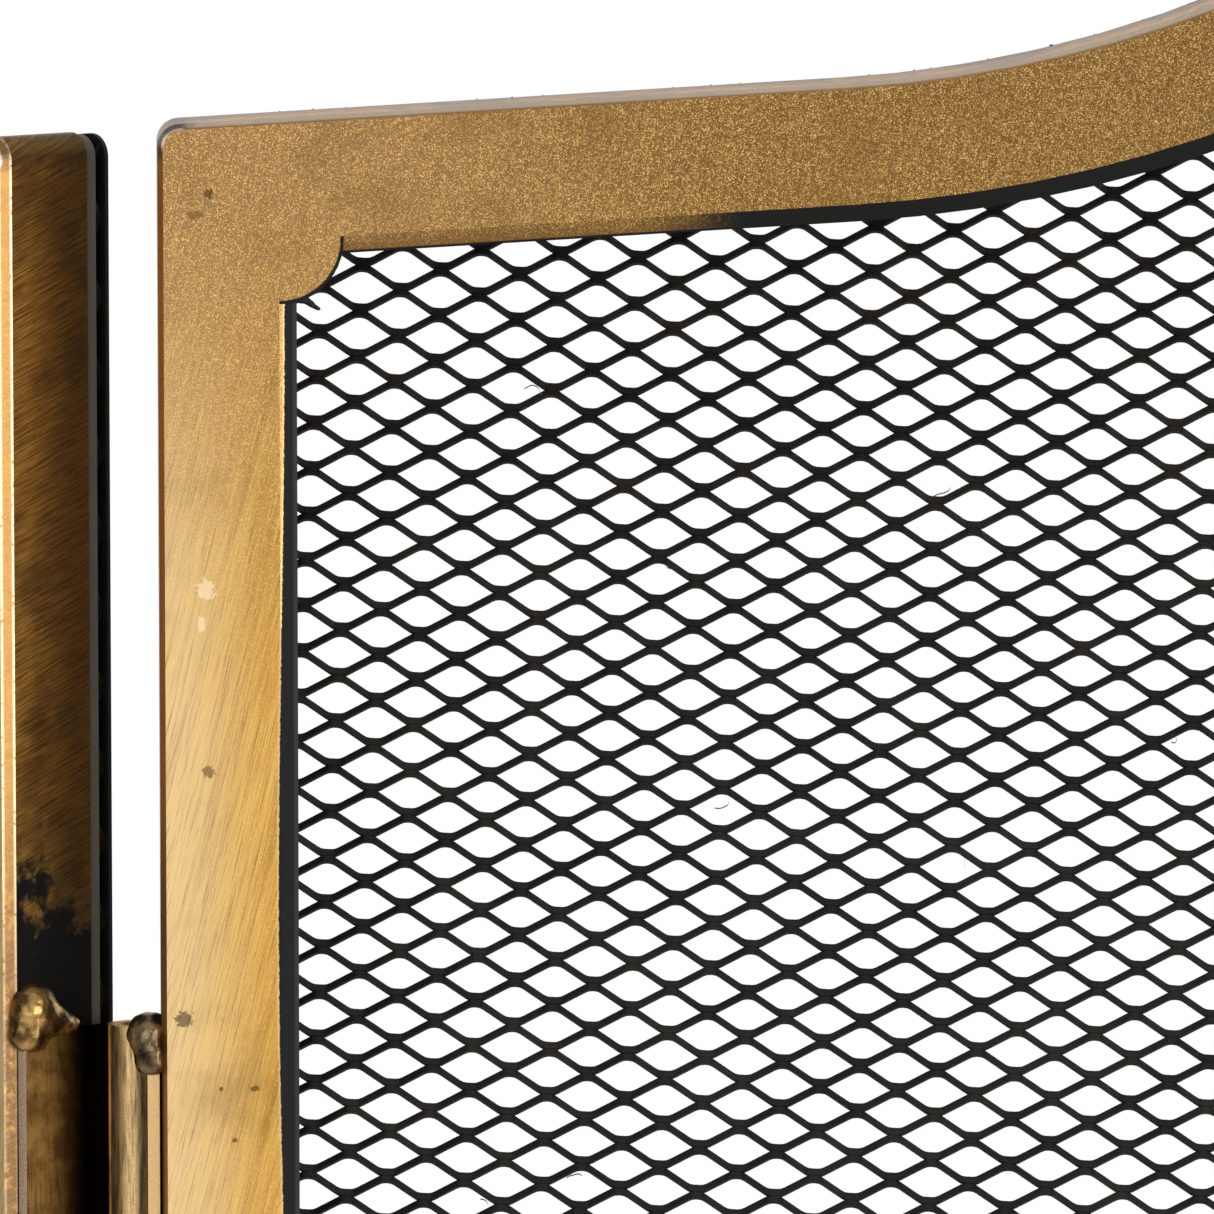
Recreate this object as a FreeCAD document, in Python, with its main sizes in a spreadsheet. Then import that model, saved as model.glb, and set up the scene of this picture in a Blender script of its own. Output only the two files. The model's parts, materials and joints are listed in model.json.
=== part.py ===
"""Folding fireplace screen: an arched middle panel and two side panels on weld-on butt hinges.

Frame: +Z up, the middle panel's front faces -Y, and the origin is on the floor at the middle of
the middle panel. The side panels are drawn unfolded, from their hinge axis, and their Placement
folds them back to the standing position. Lengths are in millimetres and angles in degrees.
"""
import FreeCAD, Part
import math
import os

import Sketcher

DIMENSIONS = {
    # middle panel
    "centre_width": 711,
    "centre_height": 776,
    "shoulder_slope": 3.3,
    "shoulder_run": 150,
    "sweep_radius": 267,
    "crown_radius": 200,
    # side panels
    "side_width": 300,
    "side_height": 773,
    "side_slope": 5,
    "fold_angle": 48,
    # frame tube: 30 x 25 with bevelled front edges
    "tube_face": 30,
    "tube_depth": 25,
    "tube_wall": 1.5,
    "corner_radius": 5,
    "outer_bevel_face": 1.2,
    "outer_bevel_side": 3,
    "inner_bevel_face": 3.8,
    "inner_bevel_side": 1.4,
    "mitre_overlap": 3,
    # flat-bar backing frame behind the tubes
    "bar_width": 30,
    "bar_thickness": 3,
    "bar_inset": 0.5,
    # expanded-metal sheet, as a plate of the same mass
    "mesh_thickness": 0.3,
    "mesh_inset": 1,
    # thin frame that clamps the raised sheet against the backing frame
    "mesh_depth": 2.8,
    "clamp_width": 25,
    "clamp_thickness": 1,
    # quarter-round gusset plates in the inner corners
    "gusset_radius": 14,
    "gusset_thickness": 1.4,
    # hinges
    "hinge_gap": 5.9,
    "axis_depth": 19.7,
    "hinge_height": 90,
    "upper_hinge_base": 485.4,
    "lower_hinge_base": 197,
    "leaf_thickness": 2.6,
    "leaf_setback": 2.8,
    "knuckle_radius": 5.4,
    "knuckle_gap": 0.3,
    "knuckle_clearance": 0.2,
    "pin_radius": 2.75,
    "pin_clearance": 0.05,
    "pin_recess": 1,
    "pin_chamfer": 0.5,
    # weld beads between a leaf and its stile
    "weld_length": 9,
    "weld_height": 5,
    "weld_overlap": 6,
    "weld_reach": 3.6,
    "weld_inset": 1,
}

ARC_LEFT = 1
ARC_RIGHT = -1

doc = FreeCAD.newDocument("fireplace_screen")
sheet = doc.addObject("Spreadsheet::Sheet", "Dims")
for row, (alias, size) in enumerate(DIMENSIONS.items(), start=1):
    sheet.set(f"A{row}", alias)
    sheet.set(f"B{row}", str(size))
    sheet.setAlias(f"B{row}", alias)
doc.recompute()


def dim(alias):
    """The expression that reads one driving dimension."""
    return f"Dims.{alias}"


def number(expression):
    """The value that an expression has now."""
    value = sheet.evalExpression(expression)
    return float(getattr(value, "Value", value))


def added(*terms):
    return " + ".join(f"({term})" for term in terms)


def less(term, *others):
    return f"({term})" + "".join(f" - ({other})" for other in others)


def moved(point, direction, reach):
    """A point moved along a direction, all as expressions."""
    return tuple(f"({place}) + ({reach}) * ({part})" for place, part in zip(point, direction))


class Edge:
    """One straight outer edge of a panel, by its outward normal's angle and its distance.

    onward is the way along it that keeps the panel on the left.
    """

    def __init__(self, normal, distance):
        self.normal = normal
        self.distance = distance
        self.outward = (f"cos({normal})", f"sin({normal})")
        self.onward = (f"-sin({normal})", f"cos({normal})")


def corner(first, second, inset):
    """Where two edges meet, both moved inwards by the same inset."""
    turn = f"sin(({second.normal}) - ({first.normal}))"
    a = less(first.distance, inset)
    b = less(second.distance, inset)
    across = f"(({a}) * sin({second.normal}) - ({b}) * sin({first.normal})) / {turn}"
    up = f"(({b}) * cos({first.normal}) - ({a}) * cos({second.normal})) / {turn}"
    return across, up


def bisector(first, second):
    """The unit direction half way between two edges' outward normals."""
    span = f"(2 * abs(cos((({second.normal}) - ({first.normal})) / 2)))"
    return tuple(f"({a} + {b}) / {span}" for a, b in zip(first.outward, second.outward))


# ---------------------------------------------------------------- sketches and features


def new_body(label):
    body = doc.addObject("PartDesign::Body", label)
    body.Label = label
    return body


def sketch_on(body, role, offset):
    """An empty sketch on one of the body's own origin planes, moved along its normal."""
    sketch = body.newObject("Sketcher::SketchObject", "Sketch")
    plane = next(item for item in body.Origin.OriginFeatures if item.Role == role)
    sketch.AttachmentSupport = [(plane, "")]
    sketch.MapMode = "FlatFace"
    sketch.setExpression(".AttachmentOffset.Base.z", offset)
    return sketch


def arc_between(start, end, radius, turn):
    """The shorter arc from start to end that bends left or right."""
    chord = end.sub(start)
    middle = start.add(end).multiply(0.5)
    rise = math.sqrt(radius ** 2 - (chord.Length / 2) ** 2)
    left = FreeCAD.Vector(-chord.y, chord.x, 0).normalize()
    centre = middle.add(left.multiply(rise * turn))
    angles = [math.atan2(p.y - centre.y, p.x - centre.x) for p in (start, end)]
    if turn == ARC_RIGHT:
        angles.reverse()
    circle = Part.Circle(centre, FreeCAD.Vector(0, 0, 1), radius)
    return Part.ArcOfCircle(circle, angles[0], angles[1])


def draw(sketch, outline):
    """Draw a closed outline of (x, y, bend), where bend is None or (radius, turn)."""
    points = [FreeCAD.Vector(number(x), number(y), 0) for x, y, _ in outline]
    ends = []
    for index, (_, _, bend) in enumerate(outline):
        start = points[index]
        end = points[(index + 1) % len(points)]
        if bend is None:
            sketch.addGeometry(Part.LineSegment(start, end))
        else:
            sketch.addGeometry(arc_between(start, end, number(bend[0]), bend[1]))
        ends.append((2, 1) if bend and bend[1] == ARC_RIGHT else (1, 2))
    for index, (x, y, bend) in enumerate(outline):
        following = (index + 1) % len(points)
        link = (index, ends[index][1], following, ends[following][0])
        sketch.addConstraint(Sketcher.Constraint("Coincident", *link))
        tail = ends[index][0]
        for kind, size in (("DistanceX", x), ("DistanceY", y)):
            place = Sketcher.Constraint(kind, -1, 1, index, tail, number(size))
            sketch.setExpression(f"Constraints[{sketch.addConstraint(place)}]", size)
        if bend is not None:
            curve = Sketcher.Constraint("Radius", index, number(bend[0]))
            sketch.setExpression(f"Constraints[{sketch.addConstraint(curve)}]", bend[0])


def draw_circle(sketch, radius):
    """A circle about the sketch's origin."""
    normal = FreeCAD.Vector(0, 0, 1)
    circle = Part.Circle(FreeCAD.Vector(0, 0, 0), normal, number(radius))
    index = sketch.addGeometry(circle)
    sketch.addConstraint(Sketcher.Constraint("Coincident", index, 3, -1, 1))
    size = Sketcher.Constraint("Radius", index, number(radius))
    sketch.setExpression(f"Constraints[{sketch.addConstraint(size)}]", radius)


def extrude(body, kind, sketch, length, symmetric=True):
    """Pad or pocket a sketch, to both sides of its plane or along its normal."""
    feature = body.newObject(f"PartDesign::{kind}", kind)
    feature.Profile = sketch
    feature.SideType = "Symmetric" if symmetric else "One side"
    feature.setExpression("Length", length)
    body.Tip = feature
    return feature


def cut_checked(body, sketch, length):
    """Pocket a sketch to both sides and make sure that it removed something."""
    doc.recompute()
    before = body.Shape.Volume
    pocket = extrude(body, "Pocket", sketch, length)
    doc.recompute()
    if not pocket.Shape.Volume < before:
        raise RuntimeError(f"the pocket in {body.Label} cut nothing")


def front_edges(body, sketch, indices, depth):
    """Names of the body's front edges that lie over some of the sketch's curves."""
    shape = body.Shape
    forward = FreeCAD.Vector(0, 0, depth / 2)
    names = []
    for index in indices:
        curve = sketch.Geometry[index]
        half_way = (curve.FirstParameter + curve.LastParameter) / 2
        middle = sketch.Placement.multVec(curve.value(half_way).add(forward))
        spot = Part.Vertex(middle)
        gaps = [edge.distToShape(spot)[0] for edge in shape.Edges]
        names.append(f"Edge{gaps.index(min(gaps)) + 1}")
    return names


def front_area(shape):
    """Area of the flat faces on the very front of a shape."""
    front = shape.BoundBox.YMin
    return sum(face.Area for face in shape.Faces if face.BoundBox.YMax - front < 0.01)


def bevel(body, names, face_cut, side_cut):
    """Bevel front edges, taking face_cut off the front and side_cut off the side."""
    base = body.Tip
    run = sum(base.Shape.getElement(name).Length for name in names)
    chamfer = body.newObject("PartDesign::Chamfer", "Chamfer")
    chamfer.Base = (base, names)
    chamfer.ChamferType = "Two distances"
    chamfer.setExpression("Size", side_cut)
    chamfer.setExpression("Size2", face_cut)
    doc.recompute()
    lost = (front_area(base.Shape) - front_area(chamfer.Shape)) / run
    if abs(lost - number(side_cut)) < abs(lost - number(face_cut)):
        chamfer.FlipDirection = True
        doc.recompute()


# ---------------------------------------------------------------- outlines of the frame members


def rounded_corner(first, second, inset):
    """The middle of a rounded outer corner, and where its arc meets each of its edges."""
    radius = dim("corner_radius")
    centre = corner(first, second, added(inset, radius))
    middle = moved(centre, bisector(first, second), radius)
    return middle, moved(centre, first.outward, radius), moved(centre, second.outward, radius)


def member_outline(before, edges, after, arch, outer, inner):
    """Mitred outline of one member, counter-clockwise, from its outer to its inner inset.

    edges holds the member's first and last straight edge, and arch gives the corners between
    them at an inset, or is None for a straight member.
    """
    first, last = edges
    round_off = (dim("corner_radius"), ARC_LEFT)
    tip, _, start = rounded_corner(before, first, outer)
    outline = [(*tip, round_off), (*start, None)]
    if arch:
        outline += arch(outer)
    tip, end, _ = rounded_corner(last, after, outer)
    outline += [(*end, round_off), (*tip, None)]
    outline.append((*corner(last, after, inner), None))
    if arch:
        outline += reversed_arch(arch(inner))
    outline.append((*corner(before, first, inner), None))
    return outline


def cavity_outline(before, edges, after, arch):
    """Outline of the hollow inside a member, run past both mitres so that they stay open."""
    first, last = edges
    outer = dim("tube_wall")
    inner = less(dim("tube_face"), dim("tube_wall"))
    over = dim("mitre_overlap")
    back = f"-({over})"
    rise = less(dim("corner_radius"), dim("tube_wall"))
    first_centre = corner(before, first, dim("corner_radius"))
    last_centre = corner(last, after, dim("corner_radius"))
    outline = [(*moved(first_centre, first.outward, rise), None)]
    if arch:
        outline += arch(outer)
    outline.append((*moved(last_centre, last.outward, rise), None))
    outline.append((*moved(last_centre, last.outward, back), None))
    outline.append((*moved(corner(last, after, inner), last.onward, over), None))
    if arch:
        outline += reversed_arch(arch(inner))
    outline.append((*moved(corner(before, first, inner), first.onward, back), None))
    outline.append((*moved(first_centre, first.outward, back), None))
    return outline


def reversed_arch(outline):
    """The same run of corners drawn the other way."""
    bends = [bend and (bend[0], -bend[1]) for _, _, bend in outline[:-1]]
    points = [corner_point[:2] for corner_point in outline]
    return [(*point, bend) for point, bend in zip(points[::-1], bends[::-1] + [None])]


def crown_arch(inset):
    """Corners of the middle panel's arch at an inset below its top edge, from right to left."""
    slope = dim("shoulder_slope")
    sweep = dim("sweep_radius")
    crown = dim("crown_radius")
    half = f"{dim('centre_width')} / 2"
    across = f"({half} - {dim('shoulder_run')} + {sweep} * sin({slope}))"
    shoulder_top = f"({dim('centre_height')} + {dim('shoulder_run')} * tan({slope}))"
    sweep_height = f"({shoulder_top} + {sweep} * cos({slope}))"
    steepest = f"asin({across} / ({sweep} + {crown}))"
    crown_height = f"({sweep_height} - ({sweep} + {crown}) * cos({steepest}))"
    outer_sweep = added(sweep, inset)
    inner_crown = less(crown, inset)
    foot = (f"{across} - ({outer_sweep}) * sin({slope})",
            f"{sweep_height} - ({outer_sweep}) * cos({slope})")
    hip = (f"({inner_crown}) * sin({steepest})",
           f"{crown_height} + ({inner_crown}) * cos({steepest})")
    return [
        (*foot, (outer_sweep, ARC_RIGHT)),
        (*hip, (inner_crown, ARC_LEFT)),
        (f"-({hip[0]})", hip[1], (outer_sweep, ARC_RIGHT)),
        (f"-({foot[0]})", foot[1], None),
    ]


# ---------------------------------------------------------------- panels


class Panel:
    """A panel's members in counter-clockwise order, its arch and which side it stands on."""

    def __init__(self, name, members, arch=None, side=0):
        self.name = name
        self.members = members
        self.arch = arch
        self.side = side
        self.shift = dim("axis_depth") if side else "0"

    def standing(self):
        """The panel's place in the assembly: folded back about its hinge axis."""
        if not self.side:
            return "placement(vector(0; 0; 0); rotation(vector(0; 0; 1); 0))"
        across = f"{self.side} * ({dim('centre_width')} / 2 + {dim('hinge_gap')})"
        axis = f"vector({across}; {dim('axis_depth')}; 0)"
        turn = f"rotation(vector(0; 0; 1); {self.side} * {dim('fold_angle')})"
        return f"placement({axis}; {turn})"

    def plane(self, middle):
        """Sketch offset of the upright plane that lies at this depth in the assembly."""
        return less(self.shift, middle)


def tube(panel, label, before, edges, after, arch):
    """A mitred tube with a bevel along both of its front edges."""
    body = new_body(label)
    outline = member_outline(before, edges, after, arch, "0", dim("tube_face"))
    profile = sketch_on(body, "XZ_Plane", panel.plane("0"))
    draw(profile, outline)
    extrude(body, "Pad", profile, dim("tube_depth"))
    doc.recompute()
    depth = number(dim("tube_depth"))
    first_mitre = len(outline) // 2
    last_mitre = len(outline) - 1
    outer_names = front_edges(body, profile, range(first_mitre), depth)
    bevel(body, outer_names, dim("outer_bevel_face"), dim("outer_bevel_side"))
    inner_names = front_edges(body, profile, range(first_mitre + 1, last_mitre), depth)
    bevel(body, inner_names, dim("inner_bevel_face"), dim("inner_bevel_side"))
    hollow = sketch_on(body, "XZ_Plane", panel.plane("0"))
    draw(hollow, cavity_outline(before, edges, after, arch))
    cut_checked(body, hollow, f"{dim('tube_depth')} - 2 * {dim('tube_wall')}")
    body.setExpression("Placement", panel.standing())
    return body


def bar(panel, label, before, edges, after, arch):
    """A flat bar of the backing frame, on the back of a tube."""
    body = new_body(label)
    inner = added(dim("bar_inset"), dim("bar_width"))
    middle = f"({dim('tube_depth')} + {dim('bar_thickness')}) / 2"
    profile = sketch_on(body, "XZ_Plane", panel.plane(middle))
    draw(profile, member_outline(before, edges, after, arch, dim("bar_inset"), inner))
    extrude(body, "Pad", profile, dim("bar_thickness"))
    body.setExpression("Placement", panel.standing())
    return body


def panel_outline(panel, inset):
    """A panel's whole outline at an inset, counter-clockwise, with its corners rounded."""
    round_off = (dim("corner_radius"), ARC_LEFT)
    outline = []
    for index, (_, edges) in enumerate(panel.members):
        before = panel.members[index - 1][1][1]
        _, end, start = rounded_corner(before, edges[0], inset)
        outline += [(*end, round_off), (*start, None)]
        if edges[0] is not edges[1]:
            outline += panel.arch(inset)
    return outline


def mesh_sheet(panel):
    """The expanded-metal sheet on the back of the backing frame, as a thin plate."""
    body = new_body(f"{panel.name}_mesh")
    behind = f"{dim('tube_depth')} / 2 + {dim('bar_thickness')} + {dim('mesh_thickness')} / 2"
    profile = sketch_on(body, "XZ_Plane", panel.plane(behind))
    draw(profile, panel_outline(panel, dim("mesh_inset")))
    extrude(body, "Pad", profile, dim("mesh_thickness"))
    body.setExpression("Placement", panel.standing())
    return body


def clamp_frame(panel):
    """The thin one-piece frame behind the sheet, as wide as the backing frame outside."""
    body = new_body(f"{panel.name}_clamp_frame")
    bar_back = f"{dim('tube_depth')} / 2 + {dim('bar_thickness')}"
    middle = added(bar_back, dim("mesh_depth"), f"{dim('clamp_thickness')} / 2")
    profile = sketch_on(body, "XZ_Plane", panel.plane(middle))
    draw(profile, panel_outline(panel, dim("bar_inset")))
    extrude(body, "Pad", profile, dim("clamp_thickness"))
    opening = sketch_on(body, "XZ_Plane", panel.plane(middle))
    draw(opening, panel_outline(panel, added(dim("bar_inset"), dim("clamp_width"))))
    cut_checked(body, opening, f"2 * {dim('clamp_thickness')}")
    body.setExpression("Placement", panel.standing())
    return body


def gussets(panel, tubes):
    """Quarter-round plates in the four inner corners, flush with the front of the tubes."""
    discs = []
    back = f"({dim('gusset_thickness')} - {dim('tube_depth')} / 2 - {panel.shift})"
    upright = "rotation(vector(1; 0; 0); 90)"
    for index, (_, edges) in enumerate(panel.members):
        before = panel.members[index - 1][1][1]
        inset = less(dim("tube_face"), dim("inner_bevel_face"))
        across, up = corner(before, edges[0], inset)
        disc = doc.addObject("Part::Cylinder", "GussetDisc")
        disc.setExpression("Radius", dim("gusset_radius"))
        disc.setExpression("Height", dim("gusset_thickness"))
        place = f"placement(vector({across}; {back}; {up}); {upright})"
        disc.setExpression("Placement", f"{panel.standing()} * {place}")
        discs.append(disc)
    plates = doc.addObject("Part::Compound", "GussetDiscs")
    plates.Links = discs
    frame = doc.addObject("Part::Compound", "GussetSeat")
    frame.Links = tubes
    cut = doc.addObject("Part::Cut", f"{panel.name}_gussets")
    cut.Label = f"{panel.name}_gussets"
    cut.Base = plates
    cut.Tool = frame
    return cut


def build_panel(panel):
    """All of one panel's sub-parts: four tubes, four bars, gussets, mesh and clamp frame."""
    tubes = []
    parts = []
    for index, (name, edges) in enumerate(panel.members):
        before = panel.members[index - 1][1][1]
        after = panel.members[(index + 1) % len(panel.members)][1][0]
        arch = None if edges[0] is edges[1] else panel.arch
        tubes.append(tube(panel, f"{panel.name}_{name}", before, edges, after, arch))
        backing = f"{panel.name}_backing_{name}"
        parts.append(bar(panel, backing, before, edges, after, arch))
    return tubes + parts + [gussets(panel, tubes), mesh_sheet(panel), clamp_frame(panel)]


def centre_panel():
    half = f"{dim('centre_width')} / 2"
    slope = dim("shoulder_slope")
    rise = f"{half} * sin({slope}) + {dim('centre_height')} * cos({slope})"
    right = Edge("0", half)
    right_shoulder = Edge(f"90 - {slope}", rise)
    left_shoulder = Edge(f"90 + {slope}", rise)
    left = Edge("180", half)
    bottom = Edge("-90", "0")
    members = [
        ("bottom_rail", (bottom, bottom)),
        ("right_stile", (right, right)),
        ("top_rail", (right_shoulder, left_shoulder)),
        ("left_stile", (left, left)),
    ]
    return Panel("centre", members, arch=crown_arch)


def side_panel(name, side):
    """A side panel from its hinge axis outwards: side is 1 on the right and -1 on the left."""
    gap = dim("hinge_gap")
    slope = dim("side_slope")
    inward, outward = ("180", "0") if side > 0 else ("0", "180")
    hinge_edge = Edge(inward, f"-({gap})")
    outer_edge = Edge(outward, f"{gap} + {dim('side_width')}")
    rise = f"{gap} * sin({slope}) + {dim('side_height')} * cos({slope})"
    top = Edge(f"90 - {side} * {slope}", rise)
    bottom = Edge("-90", "0")
    members = [
        ("bottom_rail", (bottom, bottom)),
        ("outer_stile", (outer_edge, outer_edge)),
        ("top_rail", (top, top)),
        ("hinge_stile", (hinge_edge, hinge_edge)),
    ]
    if side < 0:
        members = members[:1] + members[:0:-1]
    return Panel(name, members, side=side)


# ---------------------------------------------------------------- hinges


def hinge_place(panel, side, base):
    """A hinge's origin: on its axis at its lower end, turned with its panel."""
    across = f"{side} * ({dim('centre_width')} / 2 + {dim('hinge_gap')})"
    turn = f"{side} * {dim('fold_angle')}" if panel == "side" else "0"
    return (f"placement(vector({across}; {dim('axis_depth')}; {base}); "
            f"rotation(vector(0; 0; 1); {turn}))")


def leaf(label, facing, upper, place):
    """A leaf with one knuckle: facing is the side of the axis that it lies on."""
    body = new_body(label)
    height = dim("hinge_height")
    radius = dim("knuckle_radius")
    gap = dim("knuckle_gap")
    knuckle = f"({height} - {gap}) / 2"
    front = less(dim("leaf_setback"), dim("axis_depth"), f"{dim('tube_depth')} / 2")
    inner_face = f"({radius} - {dim('leaf_thickness')})"
    clear = f"({radius} + {dim('knuckle_clearance')})"
    notch = f"-sqrt({clear} * {clear} - {inner_face} * {inner_face})"
    middle = f"{facing} * ({radius} - {dim('leaf_thickness')} / 2)"
    split = f"{height} - {knuckle}" if upper else knuckle
    outline = [(front, "0", None)]
    if upper:
        outline += [(notch, "0", None), (notch, split, None)]
        outline += [("0", split, None), ("0", height, None)]
    else:
        outline += [("0", "0", None), ("0", split, None)]
        outline += [(notch, split, None), (notch, height, None)]
    outline.append((front, height, None))
    plate = sketch_on(body, "YZ_Plane", middle)
    draw(plate, outline)
    extrude(body, "Pad", plate, dim("leaf_thickness"))
    barrel = sketch_on(body, "XY_Plane", split if upper else "0")
    draw_circle(barrel, radius)
    extrude(body, "Pad", barrel, knuckle, symmetric=False)
    bore = sketch_on(body, "XY_Plane", f"{height} / 2")
    clearance = dim("pin_clearance") if upper else "0"
    draw_circle(bore, added(dim("pin_radius"), clearance))
    cut_checked(body, bore, f"2 * {height}")
    body.setExpression("Placement", place)
    return body


def pin(label, place):
    """A headless pin, a little shorter than the hinge, with chamfered ends."""
    body = new_body(label)
    profile = sketch_on(body, "XY_Plane", dim("pin_recess"))
    draw_circle(profile, dim("pin_radius"))
    length = f"{dim('hinge_height')} - 2 * {dim('pin_recess')}"
    extrude(body, "Pad", profile, length, symmetric=False)
    doc.recompute()
    rims = [f"Edge{index}" for index, edge in enumerate(body.Shape.Edges, start=1)
            if edge.Closed]
    base = body.Tip
    chamfer = body.newObject("PartDesign::Chamfer", "Chamfer")
    chamfer.Base = (base, rims)
    chamfer.setExpression("Size", dim("pin_chamfer"))
    body.Tip = chamfer
    body.setExpression("Placement", place)
    return body


def welds(label, facing, place):
    """Two weld beads that bridge the gap between a leaf's ends and its stile."""
    gap = dim("hinge_gap")
    outside = dim("knuckle_radius")
    inside = less(outside, dim("leaf_thickness"))
    ends = [("0", -1), (dim("hinge_height"), 1)]
    middle = less(f"-({dim('axis_depth')} + {dim('tube_depth')} / 2)",
                  f"-({dim('leaf_setback')} + {dim('weld_inset')} + {dim('weld_length')} / 2)")
    beads = []
    for end, up in ends:
        body = new_body("WeldBead")
        outline = [
            (outside, end), (inside, end), (inside, added(end, f"{up} * {dim('weld_inset')}")),
            (dim("weld_reach"), added(end, f"{up} * {dim('weld_height')}")),
            (gap, added(end, f"{up} * {dim('weld_height')}")),
            (gap, added(end, f"{-up} * {dim('weld_overlap')}")),
            (outside, added(end, f"{-up} * {dim('weld_overlap')}")),
        ]
        profile = sketch_on(body, "XZ_Plane", f"-({middle})")
        draw(profile, [(f"{facing} * ({x})", z, None) for x, z in outline])
        extrude(body, "Pad", profile, dim("weld_length"))
        body.setExpression("Placement", place)
        beads.append(body)
    pair = doc.addObject("Part::Compound", label)
    pair.Label = label
    pair.Links = beads
    return pair


def build_hinge(name, side, base):
    """One butt hinge: the lower knuckle and the pin belong to the middle panel."""
    fixed = hinge_place("centre", side, base)
    turning = hinge_place("side", side, base)
    return [
        leaf(f"{name}_centre_leaf", -side, False, fixed),
        leaf(f"{name}_side_leaf", side, True, turning),
        pin(f"{name}_pin", fixed),
        welds(f"{name}_centre_welds", -side, fixed),
        welds(f"{name}_side_welds", side, turning),
    ]


# ---------------------------------------------------------------- assembly


def build_screen():
    parts = build_panel(centre_panel())
    for name, side in (("left", -1), ("right", 1)):
        parts += build_panel(side_panel(name, side))
        for level in ("upper", "lower"):
            parts += build_hinge(f"{name}_{level}_hinge", side, dim(f"{level}_hinge_base"))
    return parts


def check(parts):
    """Stop if any object failed or any sub-part's shape is missing or broken."""
    failed = [item.Label for item in doc.Objects
              if "Invalid" in item.State or "Error" in item.State]
    if failed:
        raise RuntimeError(f"failed objects: {failed}")
    for part in parts:
        if part.Shape.isNull() or not part.Shape.isValid() or not part.Shape.Solids:
            raise RuntimeError(f"{part.Label} has no valid shape")


sub_parts = build_screen()
doc.recompute()
check(sub_parts)
os.makedirs("parts", exist_ok=True)
for sub_part in sub_parts:
    sub_part.Shape.exportStep(f"parts/{sub_part.Label}.step")
    print(f"{sub_part.Label}: {len(sub_part.Shape.Solids)} solid(s), "
          f"{sub_part.Shape.Volume / 1000:.2f} cm3")
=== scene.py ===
"""Looks, light and camera for the folding fireplace screen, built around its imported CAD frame.

Lengths inside materials and the mesh builder are in millimetres, and Blender's own are in metres.
Each panel has its own coordinates, in which its front faces -Y as the middle panel's does.
"""

import json
import math
import random

import bmesh
import bpy
import numpy as np
from mathutils import Matrix, Vector, noise

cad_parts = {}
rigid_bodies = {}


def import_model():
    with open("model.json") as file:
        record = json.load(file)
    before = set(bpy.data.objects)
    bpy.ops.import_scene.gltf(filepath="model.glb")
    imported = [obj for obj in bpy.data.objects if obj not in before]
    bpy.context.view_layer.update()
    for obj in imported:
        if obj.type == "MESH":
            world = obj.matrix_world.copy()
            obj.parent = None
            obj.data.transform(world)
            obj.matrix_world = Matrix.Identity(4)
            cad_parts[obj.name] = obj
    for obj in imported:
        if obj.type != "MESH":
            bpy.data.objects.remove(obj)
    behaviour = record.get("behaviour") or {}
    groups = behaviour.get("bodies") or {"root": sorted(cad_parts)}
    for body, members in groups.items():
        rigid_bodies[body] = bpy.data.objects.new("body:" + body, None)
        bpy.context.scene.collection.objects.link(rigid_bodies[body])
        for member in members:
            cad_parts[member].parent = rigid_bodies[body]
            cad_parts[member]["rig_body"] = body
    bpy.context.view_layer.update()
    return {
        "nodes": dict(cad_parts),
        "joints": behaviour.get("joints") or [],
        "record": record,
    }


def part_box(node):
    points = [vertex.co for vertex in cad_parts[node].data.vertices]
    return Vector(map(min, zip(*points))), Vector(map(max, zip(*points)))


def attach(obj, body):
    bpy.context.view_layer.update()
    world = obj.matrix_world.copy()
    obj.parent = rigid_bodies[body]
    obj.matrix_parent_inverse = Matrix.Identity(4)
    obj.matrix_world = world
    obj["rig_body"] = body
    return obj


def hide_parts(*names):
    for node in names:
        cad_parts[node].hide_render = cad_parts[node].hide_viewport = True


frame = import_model()

MM = 0.001
SCENE = bpy.context.scene


# ---------------------------------------------------------------- panels


class Panel:
    """One of the three panels: its body, and the matrix from its own coordinates to the row frame."""

    def __init__(self, name, joint=None):
        self.name = name
        self.body = f"{name}_panel"
        self.pivot = Vector(joint["pos_m"]) if joint else Vector((0, 0, 0))
        self.side = 0 if not joint else int(math.copysign(1, self.pivot.x))
        fold = -joint["range_deg"][0] if joint else 0
        self.turn = math.radians(self.side * fold)
        back = Matrix.Translation((0, -self.pivot.y, 0))
        self.to_row = Matrix.Translation(self.pivot) @ Matrix.Rotation(self.turn, 4, "Z") @ back
        self.from_row = self.to_row.inverted()

    def points(self, node):
        """The corners of a CAD node in the panel's own coordinates, in millimetres."""
        mesh = frame["nodes"][node].data
        return np.array([self.from_row @ v.co for v in mesh.vertices]) / MM


JOINTS = {j["child"]: j for j in frame["joints"]}
PANELS = {
    "centre": Panel("centre"),
    "left": Panel("left", JOINTS["left_panel"]),
    "right": Panel("right", JOINTS["right_panel"]),
}


SLOT_OF = {part["node"]: part["material_slot"] for part in frame["record"]["subparts"]}


def body_of(node):
    """The name of the body that a CAD node belongs to."""
    return frame["nodes"][node]["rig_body"]


def panel_of(node):
    """The panel that a CAD node moves with."""
    return PANELS[body_of(node).removesuffix("_panel")]


# ---------------------------------------------------------------- shader helpers


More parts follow.
